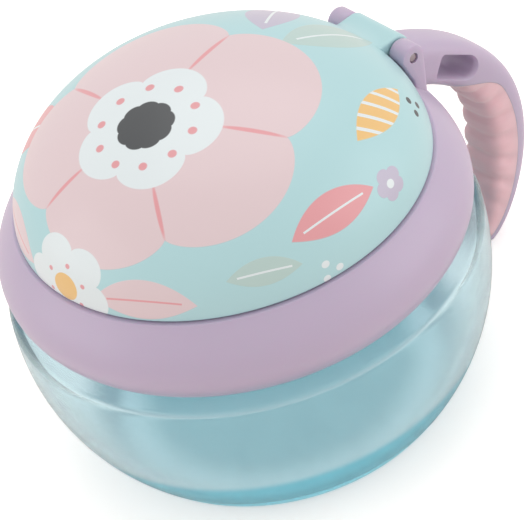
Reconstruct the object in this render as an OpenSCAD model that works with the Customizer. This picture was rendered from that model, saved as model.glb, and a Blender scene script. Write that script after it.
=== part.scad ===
// Toddler snack container: a see-through bowl, a screw-on collar with a hook
// handle, a soft insert of six flaps, and a domed lid on a pinned hinge.
// Millimetres, +Z up. The origin is the centre of the bowl's flat base.
// The handle points along +Y and the lid's hinge lies along X.

/* [Bowl] */
// Widest radius of the bowl
belly_r = 53.9; // [50:0.1:60]
// Height of the widest ring above the base
belly_z = 36.4; // [32:0.1:40]
// Half height of the ellipse that the side follows
side_curve = 53.5; // [50:0.5:70]
// Radius of the rounded edge at the foot
foot_round = 1.6; // [0.8:0.1:3]
// Height of the shoulder that the collar stands over
shoulder_z = 41.7; // [40.5:0.1:45]
// Width of the shoulder outside the collar's lower edge
shoulder_w = 5.3; // [4:0.1:8]
// Radius of the rounding between side and shoulder
shoulder_round = 2.2; // [1:0.1:3]
// Wall of the bowl
bowl_wall = 2; // [1.4:0.1:3]
// Thickness of the bowl's base
base_t = 2.6; // [2:0.1:4]
// Height of the neck above the shoulder
neck_h = 14.5; // [13:0.1:17]

/* [Screw thread] */
// Rise of the thread in one turn
thread_pitch = 4; // [3.4:0.1:5]
// How far each thread ridge stands out
thread_depth = 1.1; // [0.8:0.05:1.3]
// Gap between a thread's crest and the wall it faces
thread_gap = 0.3; // [0.2:0.05:0.5]
// Height of the ridge at its root
thread_root = 1.7; // [1.2:0.05:2]
// Turns of each ridge
thread_turns = 2; // [1:0.25:2.25]
// Height of the lower end of the neck's thread above the shoulder
thread_start = 3.7; // [3.5:0.1:4.5]
// How far each ridge sinks into the wall that carries it
thread_bite = 0.4; // [0.2:0.1:0.8]

/* [Collar] */
// Wall of the collar at its lower edge
collar_wall = 2.6; // [2:0.1:4]
// How far the collar's outside is pulled out from its lower edge
collar_bulge = 9.8; // [6:0.1:12]
// Where it is pulled out, as a share of the collar's height
bulge_at = 0.43; // [0.3:0.01:0.6]
// How far the collar's top edge stands outside the lid
collar_lip = 0.7; // [0.4:0.1:1.5]
// Width of the deck from the collar's bore to the hand opening
deck_w = 8; // [7:0.1:11]
// Thickness of the deck around the hand opening
deck_t = 3.5; // [2.8:0.1:5]
// Gap between the collar's lower edge and the shoulder
collar_gap = 0.5; // [0.3:0.05:1]

/* [Lid] */
// How far the lid's edge stands outside the collar's bore
lid_out = 0.6; // [0:0.1:1.5]
// Height of the dome above the lid's edge
dome_h = 27.6; // [22:0.1:32]
// Wall of the dome
lid_wall = 2; // [1.6:0.1:3]
// Gap between the lid's edge and its seat
lid_gap = 0.3; // [0.2:0.05:0.6]
// Height of the liner above the lid's edge
liner_up = 1; // [0.6:0.1:2]
// Gap between the liner's edge and the dome's inside
liner_gap = 0.4; // [0.3:0.05:1]
// Thickness of the liner plate
liner_t = 1.6; // [1.2:0.1:2.4]
// Wall of the liner's plug
plug_wall = 1.6; // [1.2:0.1:2.4]
// How far the plug reaches below the lid's seat
plug_depth = 2.4; // [1.6:0.1:2.6]
// Gap between the plug and the hand opening
plug_gap = 0.8; // [0.7:0.05:1.5]

/* [Hinge] */
// Distance of the hinge axis outside the lid's edge
hinge_out = 0.9; // [0.6:0.1:3]
// Height of the hinge axis above the lid's seat
hinge_up = 6.7; // [6:0.1:9]
// Diameter of the hinge pin
pin_d = 2.4; // [2:0.1:3]
// Radius of the lid's barrel around the pin
barrel_r = 3.5; // [3:0.1:4.2]
// Width of the lid's barrel
barrel_w = 15; // [12:0.5:20]
// How far the tab reaches from the hinge axis into the dome
tab_in = 6; // [5:0.1:8]
// Outer radius of a knuckle on the collar
knuckle_r = 3.1; // [2.8:0.1:3.6]
// Width of a knuckle
knuckle_w = 5; // [3:0.1:7]
// Gap between the lid and each knuckle
knuckle_gap = 0.3; // [0.2:0.05:0.5]
// Thickness of the web below each knuckle
web_t = 2.9; // [2.4:0.1:4]
// How deep each web goes into the collar
web_sink = 4; // [3:0.1:6]
// How far each end of the pin is sunk in its knuckle
pin_sink = 0.5; // [0.2:0.1:1]
// Radial gap between the pin and the lid's barrel
pin_run = 0.06; // [0.02:0.01:0.1]
// Radial gap between the pin and the knuckles that hold it
pin_hold = 0.02; // [0.01:0.005:0.04]

/* [Handle] */
// Width of the handle
handle_w = 13; // [11:0.5:15]
// Thickness where the handle leaves the collar
handle_root_t = 11.2; // [10:0.1:13]
// Thickness half way down
handle_mid_t = 11.4; // [9:0.1:13]
// Thickness at the free end
handle_tip_t = 5.9; // [5:0.1:8]
// Depth of the handle's back below the hinge axis
handle_drop = 1; // [0.5:0.1:3]
// How far out the upper part of the back is pulled
handle_pull_out = 56; // [50:0.5:62]
// How far down the upper part of the back is pulled
handle_pull_down = 21.7; // [16:0.1:26]
// Distance of the free end outside the bowl's widest ring
handle_end_out = 5.4; // [3:0.1:10]
// Height of the back at the free end
handle_end_z = 0.2; // [0.1:0.1:3]
// How far out the lower part of the back is pulled
handle_sweep_out = 13; // [8:0.5:20]
// How far down the lower part of the back is pulled
handle_sweep_down = 2.2; // [0:0.1:4]
// Where the free end starts to round, as a share of the handle
handle_round_from = 0.93; // [0.9:0.01:0.96]
// How square the handle's section is: 1 is an ellipse, 0 a rectangle
handle_square = 0.62; // [0.5:0.01:0.8]
// Length of the strap slot
slot_l = 11.2; // [8:0.1:12]
// Height of the strap slot
slot_h = 5.2; // [4:0.1:5.5]
// Slope of the strap slot, in degrees
slot_tilt = -34; // [-45:1:-25]
// Where the slot's centre is, as a share of the handle
slot_at = 0.145; // [0.14:0.005:0.17]
// Depth of the slot's centre below the handle's back
slot_in = 5.7; // [5:0.1:6]

/* [Grip] */
// Where the grip starts on the handle's inside, as a share of the handle
grip_from = 0.13; // [0.12:0.01:0.16]
// Where the grip reaches its full depth, as a share of the handle
grip_full = 0.33; // [0.3:0.01:0.4]
// Thickness of the handle's back where the grip reaches its full depth
back_top_t = 4.6; // [3.5:0.1:5.5]
// Thickness of the handle's back at the free end
back_end_t = 2.9; // [2:0.1:3.5]
// Width of the rib that carries the grip
rib_w = 5; // [4:0.5:7]
// How far the rib sinks into the handle's back
rib_bite = 0.6; // [0.4:0.1:1]
// Where the rib ends, as a share of the handle
rib_to = 0.88; // [0.8:0.01:0.9]
// Thickness of the grip over the rib
grip_skin = 2; // [1.4:0.1:2.6]
// Gap between the grip and what it wraps
grip_gap = 0.05; // [0.02:0.01:0.1]

/* [Flap insert] */
// Distance of each flap's bend line inside the hand opening
bend_in = 5.5; // [4.5:0.1:10]
// Thickness of a flap
flap_t = 1.2; // [0.8:0.1:1.4]
// Thickness of the insert's flange
flange_t = 1.6; // [1.5:0.1:2]
// Width of the slit between two flaps
slit_w = 0.6; // [0.4:0.1:1]
// Gap along each bend line
bend_gap = 0.3; // [0.2:0.05:0.5]
// Radius of the hole where the flaps meet
eye_r = 2; // [1.5:0.1:4]
// Gap above and below the flange
flange_gap = 0.15; // [0.1:0.05:0.3]
// Gap between the flange's edge and the neck's outside
flange_in = 0.3; // [0.2:0.1:1]

/* [Hidden] */
$fn = 96;
aqua = [0.72, 0.87, 0.87];
clear_blue = [0.62, 0.79, 0.84, 0.6];
lilac = [0.80, 0.74, 0.83];
pink = [0.88, 0.74, 0.77];
steel = [0.66, 0.63, 0.64];
flap_white = [0.93, 0.93, 0.94];
curve_steps = 24;
thread_steps = 48;
flap_count = 6;
cut = 0.5;

collar_foot_r = belly_r - shoulder_w;
collar_bore_r = collar_foot_r - collar_wall;
neck_r = collar_bore_r - thread_gap - thread_depth;
opening_r = collar_bore_r - deck_w;
bend_r = opening_r - bend_in;
lid_r = collar_bore_r + lid_out;
collar_top_r = lid_r + collar_lip;
flange_r = neck_r - flange_in;
plug_r = opening_r - plug_gap;
rim_z = shoulder_z + neck_h;
collar_foot_z = shoulder_z + collar_gap;
flange_z = rim_z + flange_gap;
deck_z = flange_z + flange_t + flange_gap;
seat_z = deck_z + deck_t;
collar_h = seat_z - collar_foot_z;
edge_z = seat_z + lid_gap;
hinge_y = lid_r + hinge_out;
hinge_z = seat_z + hinge_up;
knuckle_x = barrel_w / 2 + knuckle_gap;
knuckle_end = knuckle_x + knuckle_w;
pin_l = 2 * (knuckle_end - pin_sink);

// A point on an ellipse about the Z axis, from its centre height.
function oval(r, h, z, a) = [r * cos(a), z + h * sin(a)];
// The direction that its surface faces there.
function oval_faces(r, h, a) = atan2(sin(a) / h, cos(a) / r);
// A point on the curve from a to c that b pulls outwards.
function pull(a, b, c, t) = (1 - t) * (1 - t) * a + 2 * t * (1 - t) * b + t * t * c;
// A point, and the direction, on the curve through four guide points.
function curve_at(g, t) = pow(1 - t, 3) * g[0] + 3 * t * pow(1 - t, 2) * g[1]
    + 3 * t * t * (1 - t) * g[2] + pow(t, 3) * g[3];
function curve_dir(g, t) = let (d = pow(1 - t, 2) * (g[1] - g[0]) + 2 * t * (1 - t) * (g[2] - g[1])
    + t * t * (g[3] - g[2])) d / norm(d);
// 0 before a, 1 after b, and smooth between them.
function ease(a, b, t) = let (u = min(1, max(0, (t - a) / (b - a)))) u * u * (3 - 2 * u);

// A closed skin over rings of points that all have the same count.
module skin(rings) {
    n = len(rings[0]);
    m = len(rings);
    corners = [for (ring = rings) each ring];
    sides = [for (i = [0 : m - 2], j = [0 : n - 1], k = [0, 1])
        let (a = i * n + j, b = i * n + (j + 1) % n)
        k == 0 ? [a, b, b + n] : [a, b + n, a + n]];
    first = [for (j = [n - 1 : -1 : 0]) j];
    last = [for (j = [0 : n - 1]) (m - 1) * n + j];
    polyhedron(points = corners, faces = concat([first], sides, [last]));
}

// A thread ridge that starts at height z. Its root sinks into the wall at
// root_r, and it stands out to crest_r. Both ends run out to nothing.
module thread_ridge(root_r, crest_r, z) {
    outward = root_r < crest_r;
    root = outward ? root_r - thread_bite : root_r + thread_bite;
    steps = thread_steps * thread_turns;
    run_out = 0.12;
    foot = thread_root / 2;
    top = foot / 2;
    skin([for (i = [0 : steps])
        let (
            turn = thread_turns * i / steps,
            grow = max(0.02, min(1, min(turn, thread_turns - turn) / run_out)),
            crest = root_r + (crest_r - root_r) * grow,
            zc = z + thread_pitch * turn,
            profile = [[root, zc - foot], [crest, zc - top], [crest, zc + top], [root, zc + foot]]
        )
        [for (k = [0 : 3]) let (p = profile[outward ? k : 3 - k]) [p[0] * cos(360 * turn), p[0] * sin(360 * turn), p[1]]]]);
}

// Bowl

function bowl_side(r, h, low_z, high_z) = let (
    a0 = asin((low_z - belly_z) / h),
    a1 = asin((high_z - belly_z) / h)
) [for (i = [0 : curve_steps]) oval(r, h, belly_z, a0 + (a1 - a0) * i / curve_steps)];

// A rounding about the centre c, from angle a0 to a1.
function rounding(c, r, a0, a1, steps = 6) =
    [for (i = [0 : steps]) c + r * [cos(a0 + (a1 - a0) * i / steps), sin(a0 + (a1 - a0) * i / steps)]];

module bowl() {
    foot_faces = oval_faces(belly_r, side_curve, asin(-belly_z / side_curve));
    edge_faces = oval_faces(belly_r, side_curve, asin((shoulder_z - shoulder_round - belly_z) / side_curve));
    outside = bowl_side(belly_r, side_curve, foot_round * (1 + sin(foot_faces)),
        shoulder_z - shoulder_round * (1 - sin(edge_faces)));
    inside = bowl_side(belly_r - bowl_wall, side_curve - bowl_wall, base_t + foot_round,
        shoulder_z - shoulder_round - bowl_wall / 2);
    foot = outside[0];
    edge = outside[curve_steps];
    floor_edge = inside[0];
    neck_in = neck_r - bowl_wall;
    color(clear_blue) union() {
        rotate_extrude() polygon(concat(
            [[0, 0]],
            rounding([foot[0] - foot_round * cos(foot_faces), foot_round], foot_round, -90, foot_faces, 4),
            outside,
            rounding([edge[0] - shoulder_round * cos(edge_faces), shoulder_z - shoulder_round],
                shoulder_round, edge_faces, 90),
            [[neck_r, shoulder_z], [neck_r, rim_z], [neck_in, rim_z], [neck_in, shoulder_z - bowl_wall]],
            [for (i = [curve_steps : -1 : 0]) inside[i]],
            [[floor_edge[0] - foot_round, base_t], [0, base_t]]
        ));
        thread_ridge(neck_r, neck_r + thread_depth, shoulder_z + thread_start);
    }
}

// Collar

function collar_outside(steps = curve_steps) = let (
    low = [collar_foot_r, collar_foot_z],
    bulge = [collar_foot_r + collar_bulge, collar_foot_z + collar_h * bulge_at],
    high = [collar_top_r, seat_z]
) [for (i = [0 : steps]) pull(low, bulge, high, i / steps)];

// The side view of a knuckle around the pin, and of its web, about the hinge
// axis. It is drawn larger by grow where it makes room in the lid.
module knuckle_outline(grow = 0) {
    web_front = sqrt(pow(lid_r + lid_gap, 2) - pow(knuckle_x, 2)) - hinge_y - grow;
    web_foot = -hinge_up - web_sink;
    circle(r = knuckle_r + grow);
    polygon([[-knuckle_r - grow, 0], [web_front, -hinge_up + knuckle_r / 3], [web_front, web_foot],
        [web_front + web_t, web_foot], [knuckle_r + grow, 0]]);
}

module knuckle(x, w, grow = 0) {
    translate([x, hinge_y, hinge_z]) rotate([90, 0, 90]) linear_extrude(w) knuckle_outline(grow);
}

module collar() {
    color(lilac) difference() {
        union() {
            rotate_extrude() polygon(concat(
                collar_outside(),
                [[opening_r, seat_z], [opening_r, deck_z], [collar_bore_r, deck_z], [collar_bore_r, collar_foot_z]]
            ));
            thread_ridge(collar_bore_r, collar_bore_r - thread_depth, shoulder_z + thread_start - thread_pitch / 2);
            for (x = [-knuckle_end, knuckle_x]) knuckle(x, knuckle_w);
        }
        translate([-knuckle_end - cut, hinge_y, hinge_z]) rotate([0, 90, 0])
            cylinder(d = pin_d + 2 * pin_hold, h = 2 * (knuckle_end + cut));
    }
}

// Handle

handle_root = [hinge_y, hinge_z - handle_drop];
handle_end = [belly_r + handle_end_out, handle_end_z];
// The guide points of the curve along the handle's back.
handle_back = [
    handle_root,
    handle_root + [handle_pull_out, -handle_pull_down],
    handle_end + [handle_sweep_out, -handle_sweep_down],
    handle_end
];
// The solid root runs a little past the place where the grip starts.
root_to = grip_from + 0.03;

// How thick the handle is, and how thick its back is, at t from root to end.
function handle_t(t) = handle_mid_t + (handle_root_t - handle_mid_t) * (1 - ease(0.1, 0.5, t))
    + (handle_tip_t - handle_mid_t) * ease(0.5, 1, t);
function back_t(t) = let (
    full = handle_t(t),
    thin = back_top_t + (back_end_t - back_top_t) * ease(grip_full, 1, t)
) full + (thin - full) * ease(grip_from, grip_full, t);
// How far a section shrinks towards the rounded free end.
function end_round(t) = let (u = max(0, (t - handle_round_from) / (1 - handle_round_from))) max(0.3, sqrt(1 - u * u));

// A point of the handle's squarish section: across, and deep below the back.
function section_point(a, thick) = [
    handle_w / 2 * sign(cos(a)) * pow(abs(cos(a)), handle_square),
    thick / 2 * (1 - sign(sin(a)) * pow(abs(sin(a)), handle_square))
];
function section_arc(a0, a1, thick, steps) = [for (i = [0 : steps]) section_point(a0 + (a1 - a0) * i / steps, thick)];
// The angle at which a section reaches a given depth.
function depth_angle(deep, thick) = let (u = 1 - 2 * deep / thick) sign(u) * asin(pow(abs(u), 1 / handle_square));

// Puts a section's points on the handle's path, where they shrink at the end.
function place(section, t) = let (
    p = curve_at(handle_back, t),
    d = curve_dir(handle_back, t),
    inward = [d[1], -d[0]],
    half = handle_t(t) / 2,
    s = end_round(t)
) [for (q = section) let (deep = half + (q[1] - half) * s) [q[0] * s, p[0] + inward[0] * deep, p[1] + inward[1] * deep]];

// Sections: the whole handle, its back, the rib inside the grip, and the grip.
whole_section = function (t) [for (i = [0 : 23]) section_point(15 * i, handle_t(t))];
back_section = function (t) let (a = depth_angle(back_t(t), handle_t(t)))
    section_arc(a, 180 - a, handle_t(t), 12);
grip_section = function (t) let (a = depth_angle(back_t(t) + grip_gap, handle_t(t)))
    section_arc(180 - a, 360 + a, handle_t(t), 14);
// The rib starts inside the back. A gap above 0 gives the channel around it.
function rib_section(gap) = function (t) let (
    half = rib_w / 2 + gap,
    top = back_t(t) - rib_bite,
    low = handle_t(t) - grip_skin + gap
) [[half, top], [-half, top], [-half, low], [half, low]];

module along_handle(t0, t1, steps, section) {
    skin([for (i = [0 : steps]) let (t = t0 + (t1 - t0) * i / steps) place(section(t), t)]);
}

// The slot is square at its upper end and round at its lower one.
module strap_slot() {
    p = curve_at(handle_back, slot_at);
    d = curve_dir(handle_back, slot_at);
    centre = p + [d[1], -d[0]] * slot_in;
    translate([-handle_w, centre[0], centre[1]]) rotate([slot_tilt, 0, 0]) {
        translate([0, (slot_l - slot_h) / 2, 0]) rotate([0, 90, 0]) cylinder(d = slot_h, h = 2 * handle_w);
        translate([0, -slot_l / 2, -slot_h / 2]) cube([2 * handle_w, slot_l - slot_h / 2, slot_h]);
    }
}

module handle() {
    color(lilac) difference() {
        union() {
            along_handle(0, root_to, 12, whole_section);
            along_handle(root_to - 0.01, 1, 40, back_section);
            along_handle(grip_full, rib_to, 24, rib_section(0));
        }
        rotate_extrude() polygon(concat([[0, collar_foot_z]], collar_outside(), [[0, seat_z]]));
        translate([0, 0, seat_z - cut]) cylinder(r = collar_top_r, h = hinge_up + barrel_r + 2 * cut);
        translate([-handle_w, hinge_y, hinge_z]) rotate([0, 90, 0])
            cylinder(r = barrel_r + knuckle_gap, h = 2 * handle_w);
        strap_slot();
    }
}

module handle_grip() {
    color(pink) difference() {
        along_handle(root_to + 0.002, 0.99, 40, grip_section);
        along_handle(grip_full - 0.002, rib_to + 0.002, 24, rib_section(grip_gap));
    }
}

module hinge_pin() {
    color(steel) translate([-pin_l / 2, hinge_y, hinge_z]) rotate([0, 90, 0]) cylinder(d = pin_d, h = pin_l);
}

// Lid

function dome(r, h, z, a0 = 0) = [for (i = [0 : curve_steps]) oval(r, h, z, a0 + (90 - a0) * i / curve_steps)];

module dome_inside() {
    rotate_extrude() polygon(concat([[0, edge_z - cut], [lid_r - lid_wall, edge_z - cut]],
        dome(lid_r - lid_wall, dome_h - lid_wall, edge_z)));
}

// The tab from the dome to the barrel that turns on the pin.
module lid_tab() {
    translate([-barrel_w / 2, hinge_y, hinge_z]) rotate([90, 0, 90]) {
        cylinder(r = barrel_r, h = barrel_w);
        linear_extrude(barrel_w) polygon([[0, barrel_r], [-tab_in, barrel_r], [-tab_in, -barrel_r], [0, -barrel_r]]);
    }
}

module lid_shell() {
    room_w = knuckle_w + 2 * knuckle_gap;
    color(aqua) difference() {
        union() {
            rotate_extrude() polygon(concat([[0, edge_z]], dome(lid_r, dome_h, edge_z)));
            lid_tab();
        }
        dome_inside();
        for (x = [-barrel_w / 2 - room_w, barrel_w / 2]) knuckle(x, room_w, knuckle_gap);
        translate([-barrel_w, hinge_y, hinge_z]) rotate([0, 90, 0]) cylinder(d = pin_d + 2 * pin_run, h = 2 * barrel_w);
    }
}

module lid_liner() {
    plate_r = lid_r - lid_wall - liner_gap;
    plate_z = edge_z + liner_up;
    color(aqua) rotate_extrude() polygon([[0, plate_z], [plug_r - plug_wall, plate_z],
        [plug_r - plug_wall, seat_z - plug_depth], [plug_r, seat_z - plug_depth], [plug_r, plate_z],
        [plate_r, plate_z], [plate_r, plate_z + liner_t], [0, plate_z + liner_t]]);
}

// Flap insert

module flap_ring() {
    color(flap_white) translate([0, 0, flange_z]) difference() {
        cylinder(r = flange_r, h = flange_t);
        translate([0, 0, -cut]) rotate(180 / flap_count)
            cylinder(r = bend_r / cos(180 / flap_count), h = flange_t + 2 * cut, $fn = flap_count);
    }
}

// One flap: a wedge from its bend line to the eye, with half a slit each side.
module flap(i) {
    half = 180 / flap_count;
    far = bend_r - bend_gap;
    side = slit_w / 2 / cos(half);
    near = eye_r;
    color(flap_white) translate([0, 0, flange_z]) rotate(360 / flap_count * i) linear_extrude(flap_t)
        polygon([[near, -near * tan(half) + side], [far, -far * tan(half) + side],
            [far, far * tan(half) - side], [near, near * tan(half) - side]]);
}

bowl();
collar();
handle();
handle_grip();
hinge_pin();
lid_shell();
lid_liner();
flap_ring();
for (i = [1 : flap_count]) flap(i);
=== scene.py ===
"""Looks of the toddler snack container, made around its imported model.

Sizes are in metres and stand in the model's own frame: the origin is the
centre of the bowl's base, +Z is up and the handle points along +Y.
"""
import math
import bmesh
import bpy
from mathutils import Matrix, Vector


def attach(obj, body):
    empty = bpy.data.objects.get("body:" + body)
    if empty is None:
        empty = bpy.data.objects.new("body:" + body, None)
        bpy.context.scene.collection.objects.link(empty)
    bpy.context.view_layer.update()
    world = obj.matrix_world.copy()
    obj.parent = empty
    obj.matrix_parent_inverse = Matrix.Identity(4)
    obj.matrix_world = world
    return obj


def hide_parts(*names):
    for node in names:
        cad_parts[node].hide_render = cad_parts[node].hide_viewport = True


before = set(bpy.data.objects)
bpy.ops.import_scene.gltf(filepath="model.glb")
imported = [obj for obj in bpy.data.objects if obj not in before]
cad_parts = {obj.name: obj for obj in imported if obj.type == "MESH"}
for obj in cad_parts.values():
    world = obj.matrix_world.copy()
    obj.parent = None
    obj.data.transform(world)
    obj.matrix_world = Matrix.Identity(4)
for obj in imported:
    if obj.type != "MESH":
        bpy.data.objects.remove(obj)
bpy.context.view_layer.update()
scene = bpy.context.scene
MM = 0.001


# The photograph's view: a long lens from above the right front, a little
# tilted, so that the handle leans away at the upper right.
def looking_from(aim, azimuth, elevation, roll, distance):
    """The place and turn of a camera that looks at a point."""
    across = Vector((math.cos(azimuth), math.sin(azimuth), 0))
    back = Vector((math.sin(azimuth) * math.cos(elevation), -math.cos(azimuth) * math.cos(elevation),
                   math.sin(elevation)))
    up = back.cross(across)
    tilted_across = across * math.cos(roll) + up * math.sin(roll)
    tilted_up = up * math.cos(roll) - across * math.sin(roll)
    place = Matrix((tilted_across, tilted_up, back)).transposed().to_4x4()
    place.translation = aim + back * distance
    return place


focal_pixels, photo_pixels, sensor_mm = 4000, 526, 36
lens = bpy.data.cameras.new("photo_camera")
lens.sensor_width = sensor_mm
lens.lens = focal_pixels / photo_pixels * sensor_mm
lens.clip_start = 0.05
camera = bpy.data.objects.new("photo_camera", lens)
camera.matrix_world = looking_from(
    aim=Vector((-0.0136, 0.0120, 0.0217)), azimuth=math.radians(59.2), elevation=math.radians(39.33),
    roll=math.radians(-16.17), distance=0.9084)
scene.collection.objects.link(camera)
scene.camera = camera
scene.view_settings.view_transform = "Standard"


# The studio: a white table that keeps only the soft shadow round the foot, a
# white room, a wide softbox overhead and one on each side. The front is left
# without a lamp, so it is the darkest side, as in the photograph.
def shader_for(name):
    """A new material, its node tree and its shader."""
    material = bpy.data.materials.new(name)
    material.use_nodes = True
    tree = material.node_tree
    return material, tree, tree.nodes["Principled BSDF"]


def link(tree, start, end):
    """Join an output to an input."""
    tree.links.new(start, end)


def set_inputs(node, values):
    """Set a node's inputs by name."""
    for title, value in values.items():
        node.inputs[title].default_value = value


def maths(tree, operation, *values):
    """A Math node on numbers or sockets, and its output."""
    node = tree.nodes.new("ShaderNodeMath")
    node.operation = operation
    for socket, value in zip(node.inputs, values):
        if isinstance(value, (int, float)):
            socket.default_value = value
        else:
            link(tree, value, socket)
    return node.outputs[0]


def seen_by(tree, eye, gloss, through):
    """A level for what the camera, a reflection or a see-through wall looks at."""
    light = tree.nodes.new("ShaderNodeLightPath")
    seen = [maths(tree, "MULTIPLY", light.outputs["Is %s Ray" % ray], level)
            for ray, level in (("Camera", eye), ("Glossy", gloss), ("Transmission", through))]
    return maths(tree, "MAXIMUM", maths(tree, "MAXIMUM", seen[0], seen[1]), seen[2])


table_mesh = bpy.data.meshes.new("table")
table_mesh.from_pydata([(-3, -3, 0), (3, -3, 0), (3, 3, 0), (-3, 3, 0)], [], [(0, 1, 2, 3)])
table = bpy.data.objects.new("table", table_mesh)
scene.collection.objects.link(table)
table_material, tree, table_shader = shader_for("white_table")
set_inputs(table_shader, {"Base Color": (0.92, 0.855, 0.815, 1), "Roughness": 0.9, "Specular IOR Level": 0.1,
                          "Emission Color": (1, 1, 1, 1)})
link(tree, seen_by(tree, eye=0.48, gloss=0.1, through=0.78), table_shader.inputs["Emission Strength"])
table_mesh.materials.append(table_material)

room = bpy.data.worlds.new("white_room")
room.use_nodes = True
scene.world = room
tree = room.node_tree
sky = tree.nodes["Background"]
sky.inputs["Color"].default_value = (1, 1, 1, 1)
level = tree.nodes.new("ShaderNodeMapRange")
set_inputs(level, {"To Min": 0.76, "To Max": 1.0})
link(tree, seen_by(tree, eye=1.0, gloss=1.0, through=1.0), level.inputs["Value"])
link(tree, level.outputs["Result"], sky.inputs["Strength"])


def softbox(name, place, aim, size, power):
    """A large flat lamp that points at a place."""
    lamp = bpy.data.lights.new(name, "AREA")
    lamp.shape = "RECTANGLE"
    lamp.size, lamp.size_y = size
    lamp.energy = power
    box = bpy.data.objects.new(name, lamp)
    box.location = place
    box.rotation_euler = (Vector(aim) - Vector(place)).to_track_quat("-Z", "Y").to_euler()
    scene.collection.objects.link(box)


softbox("overhead_softbox", (-0.35, 0.45, 1.3), (0, 0, 0.04), (1.2, 1.2), 3.5)
softbox("left_softbox", (-0.55, -0.95, 0.45), (0, 0, 0.04), (0.9, 0.9), 2.2)
softbox("right_softbox", (0.75, 0.80, 0.45), (0, 0, 0.04), (0.9, 0.9), 2.65)


# Bowl: one see-through moulding in tinted aqua, polished inside and out. Its
# wall is 2 mm. The flat base is thicker and is painted darker, partly for its
# thickness and partly as painted shade. The collar screws on a bead round the neck.
belly_r, belly_z, side_h = 53.9 * MM, 36.4 * MM, 53.5 * MM
bowl_wall, base_t, shoulder_z, shoulder_r = 2 * MM, 2.6 * MM, 41.7 * MM, 52.9 * MM
neck_r, rim_z = 44.6 * MM, 56.2 * MM
thread_pitch, thread_turns, thread_start = 4 * MM, 2, 3.7 * MM
bead_r, bead_out, bead_fade, bead_thinnest = 0.95 * MM, 0.1 * MM, 0.06, 0.05


def eased(corners, steps=5):
    """Round the corners (x, y, radius) of a closed outline."""
    nearly_straight, longest_cut = 0.02, 0.48
    out = []
    for i, (x, y, radius) in enumerate(corners):
        here = Vector((x, y))
        before = Vector(corners[i - 1][:2]) - here
        after = Vector(corners[(i + 1) % len(corners)][:2]) - here
        angle = before.angle(after) if radius else math.pi
        if not radius or abs(angle - math.pi) < nearly_straight:
            out.append(here)
            continue
        cut = min(radius / math.tan(angle / 2), longest_cut * before.length, longest_cut * after.length)
        radius = cut * math.tan(angle / 2)
        centre = here + (before.normalized() + after.normalized()).normalized() * (radius / math.sin(angle / 2))
        start, end = here + before.normalized() * cut - centre, here + after.normalized() * cut - centre
        turn = math.atan2(start.x * end.y - start.y * end.x, start.dot(end))
        for k in range(steps + 1):
            a = turn * k / steps
            out.append(centre + Vector((start.x * math.cos(a) - start.y * math.sin(a),
                                        start.x * math.sin(a) + start.y * math.cos(a))))
    return out


def shaped(name, corners, faces):
    """An object from corners and faces, with its doubles merged and its faces outwards."""
    mesh = bpy.data.meshes.new(name)
    mesh.from_pydata([tuple(c) for c in corners], [], faces)
    form = bmesh.new()
    form.from_mesh(mesh)
    bmesh.ops.remove_doubles(form, verts=form.verts, dist=1e-6)
    bmesh.ops.recalc_face_normals(form, faces=form.faces)
    form.to_mesh(mesh)
    form.free()
    made = bpy.data.objects.new(name, mesh)
    scene.collection.objects.link(made)
    return made


def turned(name, outline, steps=192):
    """Spin a closed outline of (radius, height) about the Z axis."""
    corners = [(r * math.cos(math.tau * k / steps), r * math.sin(math.tau * k / steps), z)
               for r, z in outline for k in range(steps)]
    faces = []
    for i in range(len(outline)):
        a, b = i * steps, (i + 1) % len(outline) * steps
        flat_start, flat_end = outline[i][0] < 1e-7, outline[(i + 1) % len(outline)][0] < 1e-7
        for k in range(steps):
            n = (k + 1) % steps
            if flat_start and flat_end:
                continue
            if flat_start:
                faces.append((a + k, b + n, b + k))
            elif flat_end:
                faces.append((a + k, a + n, b + k))
            else:
                faces.append((a + k, a + n, b + n, b + k))
    return shaped(name, corners, faces)


def oval(r, h, z, low, high, steps):
    """Points on an ellipse about the axis, between two heights."""
    a0, a1 = math.asin((low - z) / h), math.asin(min(1, (high - z) / h))
    return [(r * math.cos(a0 + (a1 - a0) * k / steps), z + h * math.sin(a0 + (a1 - a0) * k / steps), 0)
            for k in range(steps + 1)]


def finished(piece, material, body, slot, *nodes, crease=32):
    """Give a piece its material, its body and the CAD nodes that it stands for."""
    piece.data.materials.clear()
    piece.data.materials.append(material)
    piece.data.polygons.foreach_set("use_smooth", [True] * len(piece.data.polygons))
    piece.data.set_sharp_from_angle(angle=math.radians(crease))
    piece.data.update()
    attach(piece, body)
    if nodes:
        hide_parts(*nodes)
    return piece


def screen_colour(red, green, blue):
    """A colour as a screen shows it, from 0 to 255, for a shader."""
    return tuple(c / 255 / 12.92 if c <= 10 else ((c / 255 + 0.055) / 1.055) ** 2.4 for c in (red, green, blue)) + (1,)


def distance(tree, a, b):
    """How far (a, b) lies from (0, 0)."""
    return maths(tree, "SQRT", maths(tree, "ADD", maths(tree, "MULTIPLY", a, a), maths(tree, "MULTIPLY", b, b)))


def noise_on(tree, place, scale, detail, seed):
    """A cloudy pattern, different for each seed."""
    node = tree.nodes.new("ShaderNodeTexNoise")
    node.noise_dimensions = "4D"
    set_inputs(node, {"Scale": scale, "Detail": detail, "W": seed})
    link(tree, place, node.inputs["Vector"])
    return node.outputs["Fac"]


def new_group(name, sockets):
    """An empty shader group with (name, side, kind, start value) sockets."""
    group = bpy.data.node_groups.new(name, "ShaderNodeTree")
    for title, side, kind, start in sockets:
        made = group.interface.new_socket(title, in_out=side, socket_type="NodeSocket" + kind)
        if start is not None:
            made.default_value = start
    return group, group.nodes.new("NodeGroupInput").outputs, group.nodes.new("NodeGroupOutput").inputs


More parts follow.
